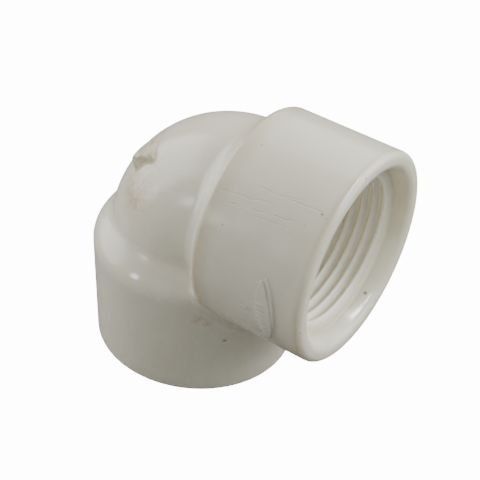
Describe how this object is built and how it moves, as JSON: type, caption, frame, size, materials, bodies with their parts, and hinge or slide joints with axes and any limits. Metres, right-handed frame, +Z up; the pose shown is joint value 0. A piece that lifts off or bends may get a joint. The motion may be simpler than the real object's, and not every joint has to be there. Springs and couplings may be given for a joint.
{
  "type": "pvc elbow fitting",
  "caption": "Right-angle PVC pipe elbow with a plain solvent-weld pipe socket on one leg and an internally threaded port on the other.",
  "frame": {"origin": "centre of the pipe socket's mouth", "axes": "+Z up the socket's axis, into the elbow; +X out of the threaded port; the two axes cross at z = 0.0375"},
  "size_m": [0.0605, 0.046, 0.06],
  "materials": {
    "pvc_ivory": "semi-gloss moulded PVC, ivory, faintly translucent",
    "gate_scar": "torn and slightly browned ivory PVC"
  },
  "bodies": {
    "root": {"bend": "pvc_ivory", "socket_hub": "pvc_ivory", "threaded_hub": "pvc_ivory", "female_thread": "pvc_ivory", "gate_stub": "gate_scar", "mark_pad": "pvc_ivory"}
  },
  "joints": []
}
